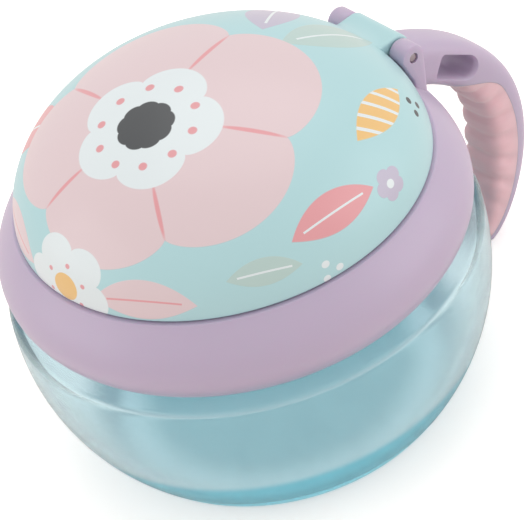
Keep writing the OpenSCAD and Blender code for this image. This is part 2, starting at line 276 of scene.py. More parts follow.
# Every moulded surface shares this skin: slow drifts in tone from the flow of
# the plastic, and the fine grain that the steel of the mould leaves.
moulded_skin, given, put = new_group("moulded_skin", [
    ("Color", "INPUT", "Color", (0.8, 0.8, 0.8, 1)), ("Tone Drift", "INPUT", "Float", 0.06),
    ("Grain Scale", "INPUT", "Float", 2500.0), ("Roughness", "INPUT", "Float", 0.4),
    ("Roughness Drift", "INPUT", "Float", 0.08), ("Color", "OUTPUT", "Color", None),
    ("Roughness", "OUTPUT", "Float", None), ("Grain", "OUTPUT", "Float", None)])
tree = moulded_skin
spot = tree.nodes.new("ShaderNodeTexCoord").outputs["Object"]
flow = noise_on(tree, spot, scale=38.0, detail=2.0, seed=3.1)
tone = maths(tree, "MULTIPLY_ADD", maths(tree, "SUBTRACT", flow, 0.5), given["Tone Drift"], 1.0)
toned = tree.nodes.new("ShaderNodeVectorMath")
toned.operation = "SCALE"
link(tree, given["Color"], toned.inputs[0])
link(tree, tone, toned.inputs["Scale"])
link(tree, toned.outputs[0], put["Color"])
sheen_drift = noise_on(tree, spot, scale=160.0, detail=3.0, seed=7.7)
sheen_change = maths(tree, "MULTIPLY", maths(tree, "SUBTRACT", sheen_drift, 0.5), given["Roughness Drift"])
link(tree, maths(tree, "ADD", given["Roughness"], sheen_change), put["Roughness"])
grain = tree.nodes.new("ShaderNodeTexNoise")
grain.inputs["Detail"].default_value = 2.0
link(tree, spot, grain.inputs["Vector"])
link(tree, given["Grain Scale"], grain.inputs["Scale"])
link(tree, grain.outputs["Fac"], put["Grain"])


def bump(tree, height, depth):
    """A bump node for a height from 0 to 1, with its depth in metres."""
    node = tree.nodes.new("ShaderNodeBump")
    set_inputs(node, {"Strength": 1.0, "Distance": depth})
    link(tree, height, node.inputs["Height"])
    return node


def with_skin(tree, shader, colour, tone_drift, grain_scale, roughness, roughness_drift, grain_height):
    """Put the moulded skin on a shader, and return the group's node and its bump."""
    skin = tree.nodes.new("ShaderNodeGroup")
    skin.node_tree = moulded_skin
    if isinstance(colour, tuple):
        skin.inputs["Color"].default_value = colour
    else:
        link(tree, colour, skin.inputs["Color"])
    set_inputs(skin, {"Tone Drift": tone_drift, "Grain Scale": grain_scale, "Roughness": roughness,
                      "Roughness Drift": roughness_drift})
    link(tree, skin.outputs["Color"], shader.inputs["Base Color"])
    link(tree, skin.outputs["Roughness"], shader.inputs["Roughness"])
    raised = bump(tree, skin.outputs["Grain"], grain_height)
    link(tree, raised.outputs["Normal"], shader.inputs["Normal"])
    return skin, raised


def stepped(tree, place, start, end, kind="SMOOTHSTEP"):
    """A step from 0 to 1 between two places."""
    node = tree.nodes.new("ShaderNodeMapRange")
    node.interpolation_type = kind
    set_inputs(node, {"From Min": start, "From Max": end})
    link(tree, place, node.inputs["Value"])
    return node.outputs["Result"]


def blended(tree, share, low, high):
    """A mix of two colours, each of them a value or a socket."""
    node = tree.nodes.new("ShaderNodeMix")
    node.data_type = "RGBA"
    link(tree, share, node.inputs["Factor"])
    for title, value in (("A", low), ("B", high)):
        if isinstance(value, tuple):
            node.inputs[title].default_value = value
        else:
            link(tree, value, node.inputs[title])
    return node.outputs["Result"]


# The tint is deepest in the base, partly for its thickness and partly as painted
# shade for the shadowed table seen through it. It is pale in the side, and the
# shoulder is painted near white as painted light that lifts the shade under the
# collar. The foot's outside shows a band of stronger blue.
base_tint_and_shade, base_edge_tint_and_shade = screen_colour(92, 138, 149), screen_colour(152, 181, 190)
side_tint, shoulder_painted_lift = screen_colour(230, 240, 242), screen_colour(253, 254, 254)
foot_tint = screen_colour(98, 197, 217)
base_shade_reach, base_shade_height = (28 * MM, 36.5 * MM), (3.5 * MM, 9 * MM)
shoulder_lift_fade, foot_fade = (40.2 * MM, 41.4 * MM), (17 * MM, 13.5 * MM)
bowl_plastic, tree, shader = shader_for("bowl_tinted_plastic")
spot = tree.nodes.new("ShaderNodeSeparateXYZ")
link(tree, tree.nodes.new("ShaderNodeTexCoord").outputs["Object"], spot.inputs[0])
from_axis, height = distance(tree, spot.outputs["X"], spot.outputs["Y"]), spot.outputs["Z"]
outwards = maths(tree, "POWER", maths(tree, "DIVIDE", from_axis, belly_r - bowl_wall / 2), 2.0)
upwards = maths(tree, "POWER", maths(
    tree, "DIVIDE", maths(tree, "SUBTRACT", height, belly_z), side_h - bowl_wall / 2), 2.0)
outer_skin = maths(tree, "GREATER_THAN", maths(tree, "ADD", outwards, upwards), 1.0)
# Painted shade: the base is darkened in a disc and its rim where the shadowed table shows through it; the thicker base
# adds some real tint.
tint = blended(tree, stepped(tree, from_axis, *base_shade_reach), base_tint_and_shade, base_edge_tint_and_shade)
tint = blended(tree, stepped(tree, height, *base_shade_height), tint, side_tint)
# Painted light: the shoulder is made near white to lift the shade that the collar casts on it.
tint = blended(tree, stepped(tree, height, *shoulder_lift_fade), tint, shoulder_painted_lift)
from_outside = maths(tree, "SUBTRACT", 1.0, tree.nodes.new("ShaderNodeNewGeometry").outputs["Backfacing"])
foot_share = maths(tree, "MULTIPLY", outer_skin, stepped(tree, height, *foot_fade))
tint = blended(tree, maths(tree, "MULTIPLY", foot_share, from_outside), tint, foot_tint)
with_skin(tree, shader, tint, tone_drift=0.05, grain_scale=900.0, roughness=0.22, roughness_drift=0.02,
          grain_height=0.000002)
set_inputs(shader, {"Transmission Weight": 0.92, "IOR": 1.22, "Coat Weight": 0.15, "Coat Roughness": 0.05})
soak = tree.nodes.new("ShaderNodeVolumeAbsorption")
set_inputs(soak, {"Color": (0.1, 0.66, 0.77, 1), "Density": 30})
link(tree, soak.outputs["Volume"], tree.nodes["Material Output"].inputs["Volume"])

outer_foot = oval(belly_r, side_h, belly_z, 0.9 * MM, shoulder_z - 1.4 * MM, 60)
inner_side = oval(belly_r - bowl_wall, side_h - bowl_wall, belly_z, base_t + 1.2 * MM, shoulder_z - 2.6 * MM, 48)
bowl_outline = eased(
    [(0, 0, 0), (34 * MM, 0, 0), (outer_foot[0][0] - 2.2 * MM, 0, 0.8 * MM)] + outer_foot
    + [(shoulder_r, shoulder_z, 1.2 * MM), (neck_r, shoulder_z, 0.6 * MM), (neck_r, rim_z, 0.8 * MM),
       (neck_r - bowl_wall, rim_z, 0.8 * MM), (neck_r - bowl_wall, shoulder_z - bowl_wall, 1.5 * MM)]
    + inner_side[::-1] + [(inner_side[0][0] - 5.5 * MM, base_t, 4.5 * MM), (26 * MM, base_t, 0), (0, base_t, 0)])
finished(turned("bowl", bowl_outline), bowl_plastic, "bowl", "bowl_plastic", "bowl")


def close_tree(tree, geometry, material):
    """End a geometry tree: instances made real, the material set, the output linked."""
    real = tree.nodes.new("GeometryNodeRealizeInstances")
    coat = tree.nodes.new("GeometryNodeSetMaterial")
    link(tree, geometry, real.inputs["Geometry"])
    link(tree, real.outputs["Geometry"], coat.inputs["Geometry"])
    link(tree, material, coat.inputs["Material"])
    link(tree, coat.outputs["Geometry"], tree.nodes.new("NodeGroupOutput").inputs["Geometry"])


# The screw bead is one rounded ridge that winds up the neck and fades out at
# both ends. The same tree winds the collar's own ridge further down.
tree = screw_bead = bpy.data.node_groups.new("screw_bead", "GeometryNodeTree")
for title, start in (("Radius", neck_r), ("Bead Radius", bead_r), ("Start Height", 0.05), ("Rise", 0.008),
                     ("Turns", 2.0), ("Fade", bead_fade)):
    tree.interface.new_socket(title, in_out="INPUT", socket_type="NodeSocketFloat").default_value = start
tree.interface.new_socket("Material", in_out="INPUT", socket_type="NodeSocketMaterial")
tree.interface.new_socket("Geometry", in_out="OUTPUT", socket_type="NodeSocketGeometry")
given = tree.nodes.new("NodeGroupInput").outputs
winding = tree.nodes.new("GeometryNodeCurveSpiral")
winding.inputs["Resolution"].default_value = 96
for title, end in (("Turns", "Rotations"), ("Radius", "Start Radius"), ("Radius", "End Radius"), ("Rise", "Height")):
    link(tree, given[title], winding.inputs[end])
share = tree.nodes.new("GeometryNodeSplineParameter").outputs["Factor"]
to_end = maths(tree, "MINIMUM", share, maths(tree, "SUBTRACT", 1.0, share))
fade = maths(tree, "POWER", maths(tree, "MINIMUM", 1.0, maths(tree, "DIVIDE", to_end, given["Fade"])), 0.5)
swell = tree.nodes.new("GeometryNodeSetCurveRadius")
link(tree, winding.outputs["Curve"], swell.inputs["Curve"])
link(tree, maths(tree, "MAXIMUM", fade, bead_thinnest), swell.inputs["Radius"])
ring = tree.nodes.new("GeometryNodeCurvePrimitiveCircle")
ring.inputs["Resolution"].default_value = 14
link(tree, given["Bead Radius"], ring.inputs["Radius"])
rolled = tree.nodes.new("GeometryNodeCurveToMesh")
rolled.inputs["Fill Caps"].default_value = True
link(tree, swell.outputs["Curve"], rolled.inputs["Curve"])
link(tree, ring.outputs["Curve"], rolled.inputs["Profile Curve"])
lifted = tree.nodes.new("GeometryNodeTransform")
start_at = tree.nodes.new("ShaderNodeCombineXYZ")
link(tree, given["Start Height"], start_at.inputs["Z"])
link(tree, rolled.outputs["Mesh"], lifted.inputs["Geometry"])
link(tree, start_at.outputs["Vector"], lifted.inputs["Translation"])
close_tree(tree, lifted.outputs["Geometry"], given["Material"])


def grown(name, tree, values, mesh=None):
    """Run a geometry tree once with named values, and keep its plain mesh."""
    carrier = bpy.data.objects.new(name, mesh or bpy.data.meshes.new(name))
    scene.collection.objects.link(carrier)
    run = carrier.modifiers.new(name, "NODES")
    run.node_group = tree
    for item in tree.interface.items_tree:
        if item.in_out == "INPUT" and item.name in values:
            run[item.identifier] = values[item.name]
    result = bpy.data.meshes.new_from_object(carrier.evaluated_get(bpy.context.evaluated_depsgraph_get()))
    carrier.modifiers.remove(run)
    carrier.data = result
    return carrier


def wound_bead(name, radius, start_height, material):
    """A screw bead of the thread's pitch and turns."""
    return grown(name, screw_bead, {
        "Radius": radius, "Bead Radius": bead_r, "Start Height": start_height, "Rise": thread_pitch * thread_turns,
        "Turns": float(thread_turns), "Fade": bead_fade, "Material": material})


finished(wound_bead("bowl_screw_bead", neck_r + bead_out, shoulder_z + thread_start, bowl_plastic),
         bowl_plastic, "bowl", "bowl_plastic")


# Flap insert: one soft white moulding that is clamped under the collar's deck.
# Six flaps hang on thin bend lines round a hexagon and close on a small eye.
flange_r, bend_r, flange_z, flange_t = 44.3 * MM, 32.5 * MM, 56.35 * MM, 1.6 * MM
flap_t, slit_w, bend_gap, eye_r, flap_count = 1.2 * MM, 0.6 * MM, 0.3 * MM, 2 * MM, 6
flap_rubber, tree, shader = shader_for("flap_soft_rubber")
with_skin(tree, shader, screen_colour(238, 238, 240), tone_drift=0.04, grain_scale=1400.0, roughness=0.62,
          roughness_drift=0.12, grain_height=0.00002)
shader.inputs["Sheen Weight"].default_value = 0.15

ring_steps, corners, ring_size = 144, [], 0
for k in range(ring_steps):
    turn = math.tau * k / ring_steps
    off_flat = (turn + math.pi / flap_count) % (math.tau / flap_count) - math.pi / flap_count
    inner = bend_r / math.cos(off_flat)
    section = eased([(inner, flange_z, 0.35 * MM), (flange_r, flange_z, 0.5 * MM),
                     (flange_r, flange_z + flange_t, 0.5 * MM), (inner + 2.4 * MM, flange_z + flange_t, 0.6 * MM),
                     (inner + 1.4 * MM, flange_z + flap_t, 0.5 * MM), (inner, flange_z + flap_t, 0.35 * MM)], 3)
    ring_size = len(section)
    corners += [(p.x * math.cos(turn), p.x * math.sin(turn), p.y) for p in section]
faces = [(k * ring_size + j, k * ring_size + (j + 1) % ring_size,
          (k + 1) % ring_steps * ring_size + (j + 1) % ring_size, (k + 1) % ring_steps * ring_size + j)
         for k in range(ring_steps) for j in range(ring_size)]
finished(shaped("flap_ring", corners, faces), flap_rubber, "flap_insert", "flap_rubber", "flap_ring")


def sleeve(name, rings):
    """A closed skin over rings that have the same number of points."""
    count = len(rings[0])
    corners = [p for ring in rings for p in ring]
    faces = [(i * count + j, i * count + (j + 1) % count, (i + 1) * count + (j + 1) % count, (i + 1) * count + j)
             for i in range(len(rings) - 1) for j in range(count)]
    faces += [tuple(range(count))[::-1], tuple(range((len(rings) - 1) * count, len(rings) * count))]
    return shaped(name, corners, faces)


half_angle = math.pi / flap_count
far, side = bend_r - bend_gap, slit_w / 2 / math.cos(half_angle)
rounded_edge = ((0, 0.3), (0.1, 0.09), (0.3, 0), (0.9, 0), (1.1, 0.09), (1.2, 0.3))
for i in range(1, flap_count + 1):
    rings = []
    for up, inset in rounded_edge:
        g = inset * MM
        near_half = (eye_r + g) * math.tan(half_angle) - side - g
        far_half = (far - g) * math.tan(half_angle) - side - g
        outline = eased([(eye_r + g, -near_half, 0.3 * MM), (far - g, -far_half, 0.8 * MM),
                         (far - g, far_half, 0.8 * MM), (eye_r + g, near_half, 0.3 * MM)], 4)
        turn = Matrix.Rotation(math.tau / flap_count * i, 2)
        rings.append([(*(turn @ p), flange_z + up * MM) for p in outline])
    finished(sleeve("flap_%d" % i, rings), flap_rubber, "flap_%d" % i, "flap_rubber", "flap_%d" % i)


# Collar: a lilac satin moulding that screws on the neck. Its flank bulges out
# over the shoulder, its deck carries the lid's seat and the hand opening, and
# two lugs behind hold the hinge pin.
foot_r, foot_z, bore_r = 48.6 * MM, 42.2 * MM, 46.0 * MM
bulge, seat_z, deck_z = (58.4 * MM, 50.542 * MM), 61.6 * MM, 58.1 * MM
top_r, opening_r = 47.3 * MM, 38 * MM
hinge_y, hinge_z, hinge_up = 47.5 * MM, 68.3 * MM, 6.7 * MM
lug_x, lug_r, bore_in_lug = 7.8 * MM, 3.1 * MM, 1.22 * MM
web_front, web_t, web_foot = -1.253 * MM, 2.9 * MM, -10.7 * MM
collar_plastic, tree, shader = shader_for("collar_satin_plastic")
with_skin(tree, shader, screen_colour(193, 176, 199), tone_drift=0.05, grain_scale=2600.0, roughness=0.36,
          roughness_drift=0.06, grain_height=0.000006)
set_inputs(shader, {"Coat Weight": 0.12, "Coat Roughness": 0.25, "Subsurface Weight": 0.35,
                    "Subsurface Radius": (1.0, 0.5, 0.75), "Subsurface Scale": 0.0025})


def flank(steps, shrink=0.0):
    """The collar's outside, from its foot to its top."""
    low, high = (foot_r - shrink, foot_z), (top_r - shrink, seat_z)
    return [tuple((1 - t) ** 2 * a + 2 * t * (1 - t) * b + t * t * c
                  for a, b, c in zip(low, (bulge[0] - shrink, bulge[1]), high))
            for t in (k / steps for k in range(steps + 1))]


def joined(piece, other, operation):
    """Join or cut a piece with another one, which is used up."""
    step = piece.modifiers.new(operation.lower(), "BOOLEAN")
    step.operation = operation
    step.solver = "EXACT"
    step.object = other
    result = bpy.data.meshes.new_from_object(piece.evaluated_get(bpy.context.evaluated_depsgraph_get()))
    piece.modifiers.remove(step)
    piece.data = result
    bpy.data.objects.remove(other)


def along_x(name, places, outline_at):
    """A skin over side views (y, z) at several places along the hinge."""
    return sleeve(name, [[(x, hinge_y + p[0], hinge_z + p[1]) for p in outline_at(grow)] for x, grow in places])


def lug_side(grow):
    """A lug's side view about the pin, with its web down to the collar."""
    arc = [((lug_r + grow) * math.cos(math.pi * k / 24), (lug_r + grow) * math.sin(math.pi * k / 24))
           for k in range(25)]
    return arc + [(web_front - grow, -hinge_up + lug_r / 3), (web_front - grow, web_foot),
                  (web_front + web_t + grow, web_foot)]


collar = turned("collar", eased(
    [(r, z, 0.55 * MM if k in (0, 48) else 0) for k, (r, z) in enumerate(flank(48))]
    + [(opening_r, seat_z, 0.8 * MM), (opening_r, deck_z, 0.4 * MM), (bore_r, deck_z, 0.4 * MM),
       (bore_r, foot_z, 0.4 * MM)]))
lug_width = ((0, -0.55), (0.16, -0.2), (0.55, 0), (4.45, 0), (4.84, -0.2), (5, -0.55))
for side in (-1, 1):
    joined(collar, along_x("lug", [(side * (lug_x + dx * MM), g * MM) for dx, g in lug_width], lug_side), "UNION")


def rod(name, radius, length, steps=48):
    """A plain bar along the hinge, for a bore."""
    return along_x(name, [(-length / 2, 0), (length / 2, 0)], lambda grow: [
        (radius * math.cos(math.tau * k / steps), radius * math.sin(math.tau * k / steps)) for k in range(steps)])


joined(collar, rod("lug_bore", bore_in_lug, length=40 * MM), "DIFFERENCE")
finished(collar, collar_plastic, "collar", "collar_plastic", "collar")
finished(wound_bead("collar_screw_bead", bore_r - bead_out, shoulder_z + thread_start - thread_pitch / 2,
                    collar_plastic), collar_plastic, "collar", "collar_plastic")


# Handle: a lilac hook moulded with the collar. It leaves beside the hinge,
# sweeps out and down to a rounded end by the foot, and has a strap slot right
# through it whose mouth is softly rounded.
handle_w, root_t, mid_t, tip_t = 13 * MM, 11.2 * MM, 11.4 * MM, 5.9 * MM
root = Vector((hinge_y, hinge_z - 1.0 * MM))
tip = Vector((belly_r + 5.4 * MM, 0.2 * MM))
root_pull, tip_pull = Vector((56, -21.7)) * MM, Vector((13, -2.2)) * MM
back_line = [root, root + root_pull, tip + tip_pull, tip]
squareness, grip_from, grip_full, root_to, round_from = 0.62, 0.13, 0.33, 0.16, 0.93
back_top_t, back_end_t, grip_gap, barrel_room = 4.6 * MM, 2.9 * MM, 0.05 * MM, 4.2 * MM
slot_l, slot_h, slot_tilt, slot_at, slot_in = 11.2 * MM, 5.2 * MM, math.radians(-34), 0.145, 5.7 * MM


def ease(a, b, t):
    """A smooth step from 0 at a to 1 at b."""
    u = min(1, max(0, (t - a) / (b - a)))
    return u * u * (3 - 2 * u)


def handle_t(t):
    """The handle's thickness, as are all its sizes, at a share t of its length."""
    return mid_t + (root_t - mid_t) * (1 - ease(0.1, 0.5, t)) + (tip_t - mid_t) * ease(0.5, 1, t)


def back_t(t):
    """The thickness of the lilac back above the grip."""
    thin = back_top_t + (back_end_t - back_top_t) * ease(grip_full, 1, t)
    return handle_t(t) + (thin - handle_t(t)) * ease(grip_from, grip_full, t)


def on_back(t):
    """A point on the handle's back, and the direction into the handle there."""
    a, b, c, d = back_line
    place = a * (1 - t) ** 3 + b * 3 * t * (1 - t) ** 2 + c * 3 * t * t * (1 - t) + d * t ** 3
    run = ((b - a) * (1 - t) ** 2 + (c - b) * 2 * t * (1 - t) + (d - c) * t * t).normalized()
    return place, Vector((run.y, -run.x))


def section_point(angle, thick):
    """A point of the squarish oval section: across, and deep from the back."""
    def power(v):
        return math.copysign(abs(v) ** squareness, v)
    return Vector((handle_w / 2 * power(math.cos(angle)), thick / 2 * (1 - power(math.sin(angle)))))


def depth_angle(deep, thick):
    """The angle at which the section reaches a depth."""
    u = max(-1, min(1, 1 - 2 * deep / thick))
    return math.copysign(math.asin(abs(u) ** (1 / squareness)), u)


def handle_ring(t, part, over=36, under=30):
    """The handle's section at t: its solid root, its back, or the grip below."""
    thick = handle_t(t)
    split = depth_angle(min(back_t(t) + (grip_gap if part == "grip" else 0), 0.97 * thick), thick)
    top = [section_point(split + (math.pi - 2 * split) * k / over, thick) for k in range(over + 1)]
    bottom = [section_point(math.pi - split + (math.pi + 2 * split) * k / under, thick) for k in range(1, under)]
    if part == "back":
        bottom = [top[-1].lerp(top[0], k / under) for k in range(1, under)]
    if part == "grip":
        top = [top[0].lerp(top[-1], k / over) for k in range(over + 1)]
    place, inward = on_back(t)
    u = max(0, (t - round_from) / (1 - round_from))
    shrink = max(0.02, math.sqrt(max(0, 1 - u * u)))
    ring = []
    for q in top + bottom:
        deep = thick / 2 + (q.y - thick / 2) * shrink
        ring.append((q.x * shrink, place.x + inward.x * deep, place.y + inward.y * deep))
    return ring


def towards_tip(start, end, steps):
    """Steps along the handle that get shorter where its end rounds off."""
    plain = [start + (round_from - start) * k / steps for k in range(steps)]
    return plain + [round_from + (end - round_from) * math.sin(math.pi / 2 * k / 14) for k in range(15)]


rings = [handle_ring(root_to * k / 24, "root") for k in range(25)]
rings += [handle_ring(t, "back") for t in towards_tip(root_to + 0.0005, 1, 110)]
handle = sleeve("handle", rings)
joined(handle, turned("collar_room", [(0, foot_z)] + flank(48, shrink=0.3 * MM) + [(0, seat_z)]), "DIFFERENCE")
joined(handle, turned("lid_room", [(0, seat_z - 0.4 * MM), (top_r - 0.3 * MM, seat_z - 0.4 * MM),
                                   (top_r - 0.3 * MM, 75 * MM), (0, 75 * MM)]), "DIFFERENCE")
joined(handle, rod("barrel_room", barrel_room, length=30 * MM, steps=96), "DIFFERENCE")


def slot_outline(grow):
    """The slot's mouth: square at its upper end and round at its lower one."""
    r = slot_h / 2 + grow
    far = slot_l / 2 - slot_h / 2
    arc = [Vector((far + r * math.cos(a), r * math.sin(a)))
           for a in (math.pi / 2 - math.pi * k / 20 for k in range(21))]
    back_end = eased([(-slot_l / 2 - grow, -r, 0.7 * MM + grow), (-slot_l / 2 - grow, r, 0.7 * MM + grow),
                      (far, r, 0), (far, -r, 0)], 5)[:12]
    return arc + back_end


place, inward = on_back(slot_at)
centre = place + inward * slot_in
lip = [(-8, 2.2), (-6.9, 1.2), (-6.5, 0.75), (-6.2, 0.45), (-5.8, 0.2), (-5.3, 0.05), (-5.0, 0)]
rings = []
for x, grow in lip + [(-x, g) for x, g in lip[::-1]]:
    rings.append([(x * MM, centre.x + p.x * math.cos(slot_tilt) - p.y * math.sin(slot_tilt),
                   centre.y + p.x * math.sin(slot_tilt) + p.y * math.cos(slot_tilt))
                  for p in slot_outline(grow * MM)])
joined(handle, sleeve("strap_slot", rings), "DIFFERENCE")
finished(handle, collar_plastic, "collar", "collar_plastic", "handle")


# Grip: pink soft rubber moulded over the inside of the hook. Rounded ridges
# run across it for small fingers, and fade out towards the lilac back.
grip_rubber, tree, shader = shader_for("grip_soft_rubber")
with_skin(tree, shader, screen_colour(240, 197, 203), tone_drift=0.06, grain_scale=2200.0, roughness=0.58,
          roughness_drift=0.1, grain_height=0.000015)
set_inputs(shader, {"Sheen Weight": 0.25, "Sheen Roughness": 0.5, "Subsurface Weight": 0.35,
                    "Subsurface Radius": (1.0, 0.55, 0.6), "Subsurface Scale": 0.002})
ridge_spacing, ridge_depth, valley_power = 6.3 * MM, 0.7 * MM, 1.9
deep_fade, root_fade, tip_fade = (0.02, 0.5), (0.0, 0.1), (0.62, 0.86)

steps = towards_tip(root_to + 0.002, 0.99, 240)
rings = [handle_ring(t, "grip") for t in steps]
grip = sleeve("handle_grip", rings)
run, lengths = 0.0, [0.0]
for a, b in zip(steps, steps[1:]):
    run += (on_back(b)[0] + on_back(b)[1] * handle_t(b) / 2 - on_back(a)[0] - on_back(a)[1] * handle_t(a) / 2).length
    lengths.append(run)
along = grip.data.attributes.new("along", "FLOAT", "POINT")
inner = grip.data.attributes.new("inner", "FLOAT", "POINT")
for k, corner in enumerate(grip.data.vertices):
    y, z = corner.co.y, corner.co.z
    at = min(k // len(rings[0]), len(steps) - 1)
    place, inward = on_back(steps[at])
    deep = (Vector((y, z)) - place).dot(inward)
    edge_depth, thick = back_t(steps[at]), handle_t(steps[at])
    along.data[k].value = lengths[at]
    inner.data[k].value = ease(*deep_fade, (deep - edge_depth) / max(1e-6, thick - edge_depth)) \
        * ease(*root_fade, at / len(steps)) * (1 - ease(*tip_fade, at / len(steps)))

tree = finger_ridges = bpy.data.node_groups.new("finger_ridges", "GeometryNodeTree")
tree.interface.new_socket("Geometry", in_out="INPUT", socket_type="NodeSocketGeometry")
for title, start in (("Spacing", ridge_spacing), ("Depth", ridge_depth)):
    tree.interface.new_socket(title, in_out="INPUT", socket_type="NodeSocketFloat").default_value = start
tree.interface.new_socket("Material", in_out="INPUT", socket_type="NodeSocketMaterial")
tree.interface.new_socket("Geometry", in_out="OUTPUT", socket_type="NodeSocketGeometry")
given = tree.nodes.new("NodeGroupInput").outputs


def named_field(tree, title):
    """A number that is kept on each point of the mesh."""
    node = tree.nodes.new("GeometryNodeInputNamedAttribute")
    node.data_type = "FLOAT"
    node.inputs["Name"].default_value = title
    return node.outputs["Attribute"]


ridges_passed = maths(tree, "DIVIDE", named_field(tree, "along"), given["Spacing"])
wave = maths(tree, "COSINE", maths(tree, "MULTIPLY", math.tau, ridges_passed))
valley = maths(tree, "POWER", maths(tree, "MULTIPLY_ADD", wave, -0.5, 0.5), valley_power)
sunk = maths(tree, "MULTIPLY", maths(tree, "MULTIPLY", valley, given["Depth"]),
             maths(tree, "MULTIPLY", named_field(tree, "inner"), -1.0))
move = tree.nodes.new("ShaderNodeVectorMath")
move.operation = "SCALE"
link(tree, tree.nodes.new("GeometryNodeInputNormal").outputs["Normal"], move.inputs[0])
link(tree, sunk, move.inputs["Scale"])
pushed = tree.nodes.new("GeometryNodeSetPosition")
link(tree, given["Geometry"], pushed.inputs["Geometry"])
link(tree, move.outputs[0], pushed.inputs["Offset"])
close_tree(tree, pushed.outputs["Geometry"], given["Material"])
smooth_grip = grip.data
bpy.data.objects.remove(grip)
grip = grown("handle_grip", finger_ridges, {"Spacing": ridge_spacing, "Depth": ridge_depth,
                                            "Material": grip_rubber}, smooth_grip)
finished(grip, grip_rubber, "collar", "grip_rubber", "handle_grip", crease=50)


# Hinge pin: a plain steel pin, pressed into the lugs and loose in the lid's
# barrel. Its ends are a little domed and sit just inside the lugs.
pin_r, pin_l = 1.2 * MM, 25.2 * MM
pin_steel, tree, shader = shader_for("pin_ground_steel")
with_skin(tree, shader, screen_colour(160, 149, 154), tone_drift=0.1, grain_scale=5000.0, roughness=0.38,
          roughness_drift=0.15, grain_height=0.000004)
shader.inputs["Metallic"].default_value = 1.0
ends = [(-0.5, 0.02), (-0.4985, 0.5), (-0.496, 0.78), (-0.49, 0.93), (-0.482, 1.0)]
rings = [[(pin_l * x, hinge_y + pin_r * r * math.cos(math.tau * k / 40),
           hinge_z + pin_r * r * math.sin(math.tau * k / 40)) for k in range(40)]
         for x, r in ends + [(-x, r) for x, r in ends[::-1]]]
finished(sleeve("hinge_pin", rings), pin_steel, "collar", "pin_steel", "hinge_pin")


# Lid shell: an aqua dome with a rounded edge. A broad tab grows out of its
# rear and rolls over into the barrel that turns on the pin. The dome is
# notched where the lugs stand.
edge_z, lid_r, dome_h, lid_wall, dome_arc = 61.9 * MM, 46.6 * MM, 27.6 * MM, 2 * MM, 59.24
barrel_r, barrel_w, pin_run = 3.5 * MM, 15 * MM, 0.06 * MM
fillet_side, fillet_more, fillet_rise, tab_sunk = 0.7, 3.3, 0.82, 1.0 * MM
room_from, room_to, room_gap = 7.5 * MM, 13.1 * MM, 0.3 * MM


def dome_r(z, inset=0.0):
    """The dome's radius at a height, or that of a skin inset in its wall."""
    return (lid_r - inset) * math.sqrt(max(0, 1 - ((z - edge_z) / (dome_h - inset)) ** 2))


def tab_side(x, g):
    """The tab's side view at x, g inside its edges: wall, fillet, top, barrel."""
    r = barrel_r - g
    top_z, under_z = hinge_z + r, hinge_z - r
    meet = math.sqrt(dome_r(top_z) ** 2 - x * x)
    reach = (fillet_side + fillet_more * (1 - (abs(x) / (barrel_w / 2)) ** 4)) * MM
    start_z = top_z + reach * fillet_rise
    start = Vector((math.sqrt(dome_r(start_z) ** 2 - x * x) - 0.03 * MM, start_z))
    corner, end = Vector((meet, top_z)), Vector((meet + reach, top_z))
    fillet = [start * (1 - t) ** 2 + corner * 2 * t * (1 - t) + end * t * t for t in (k / 12 for k in range(13))]
    barrel = [Vector((hinge_y + r * math.cos(a), hinge_z + r * math.sin(a)))
              for a in (math.pi / 2 - math.pi * k / 32 for k in range(33))]
    inside = [Vector((math.sqrt(dome_r(z, tab_sunk) ** 2 - x * x), z))
              for z in (under_z + (start_z - 0.4 * MM - under_z) * k / 14 for k in range(15))]
    return fillet + barrel + inside


edge, tab_half, flat_half = [(0, 0.6), (0.05, 0.35), (0.2, 0.15), (0.6, 0)], 7.5, 6.4
across = [(-tab_half + d, g) for d, g in edge] + [(-flat_half + 2 * flat_half * k / 16, 0) for k in range(17)] \
    + [(tab_half - d, g) for d, g in edge[::-1]]
lid_shell = turned("lid_shell", eased(
    [(lid_r - lid_wall, edge_z, 0.7 * MM), (lid_r, edge_z, 0.9 * MM)]
    + [(r, z, 0) for r, z, _ in oval(lid_r, dome_h, edge_z, edge_z + 1.2 * MM, edge_z + dome_h, 72)]
    + [(0, edge_z + dome_h - lid_wall, 0)]
    + [(r, z, 0) for r, z, _ in oval(lid_r - lid_wall, dome_h - lid_wall, edge_z, edge_z + 1.0 * MM,
                                     edge_z + dome_h - lid_wall, 60)[-2::-1]]), 256)
joined(lid_shell, sleeve("tab", [[(x * MM, p.x, p.y) for p in tab_side(x * MM, g * MM)] for x, g in across]), "UNION")
for side in (-1, 1):
    joined(lid_shell, along_x("lug_room", [(side * room_from, room_gap), (side * room_to, room_gap)], lug_side),
           "DIFFERENCE")
joined(lid_shell, rod("barrel_bore", pin_r + pin_run, length=22 * MM), "DIFFERENCE")

